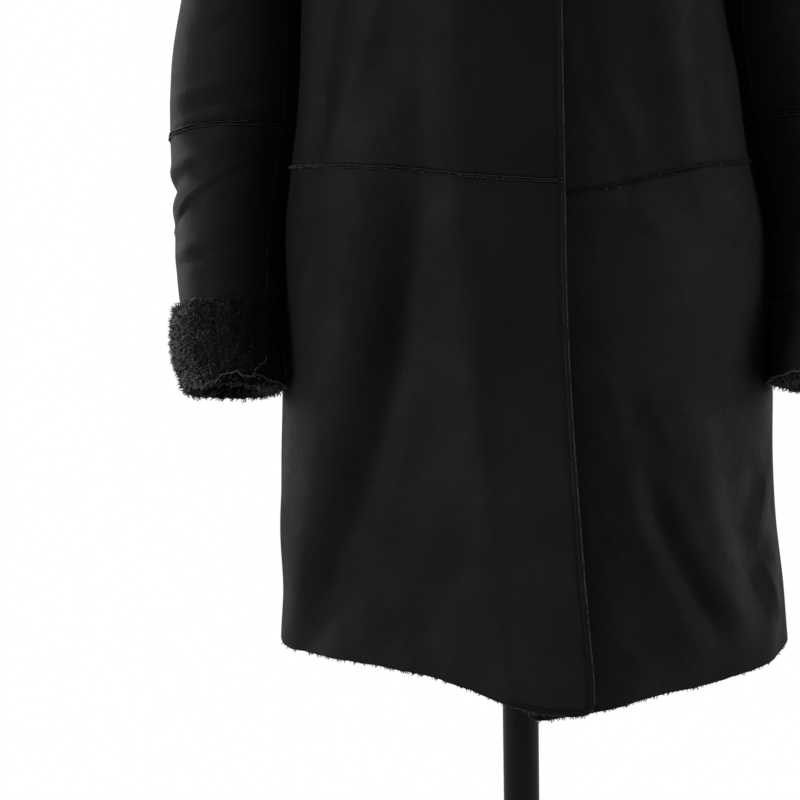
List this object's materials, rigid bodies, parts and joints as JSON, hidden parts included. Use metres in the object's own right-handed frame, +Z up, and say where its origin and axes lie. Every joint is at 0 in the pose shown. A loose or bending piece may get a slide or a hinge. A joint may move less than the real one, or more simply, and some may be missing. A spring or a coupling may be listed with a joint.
{
  "type": "shearling coat on a dress form",
  "caption": "Thigh-length shearling coat, leather outside and curled wool inside, with turned-back wool cuffs, closed right over left on a limbless dress form with a pole and round base.",
  "frame": {"origin": "centre of the base plate's underside", "axes": "+Z up along the pole, -Y toward the coat's front, -X toward the wearer's right"},
  "size_m": [0.7202, 0.4087, 1.518],
  "materials": {
    "coat_leather": "matte black nappa with a fine grain; the inner face of each wall is clipped black-brown wool",
    "seam_leather": "raised matte black seam with cut edges and two rows of stitching",
    "wool_pile": "dense curled black-brown sheepskin wool",
    "form_cover": "smooth black jersey",
    "cap_lacquer": "black lacquer",
    "stand_metal": "satin black paint"
  },
  "bodies": {
    "root": {"right_front_upper": "coat_leather", "right_front_skirt": "coat_leather", "left_front_upper": "coat_leather", "left_front_skirt": "coat_leather", "back_upper": "coat_leather", "back_skirt": "coat_leather", "right_sleeve_upper": "coat_leather", "right_sleeve_lower": "coat_leather", "left_sleeve_upper": "coat_leather", "left_sleeve_lower": "coat_leather", "right_cuff": "wool_pile", "left_cuff": "wool_pile", "collar": "wool_pile", "right_waist_welt": "seam_leather", "left_waist_welt": "seam_leather", "back_waist_welt": "seam_leather", "right_forearm_welt": "seam_leather", "left_forearm_welt": "seam_leather", "front_edge_band": "seam_leather", "form_torso": "form_cover", "form_neck_cap": "cap_lacquer", "pole": "stand_metal", "base_plate": "stand_metal"}
  },
  "joints": []
}
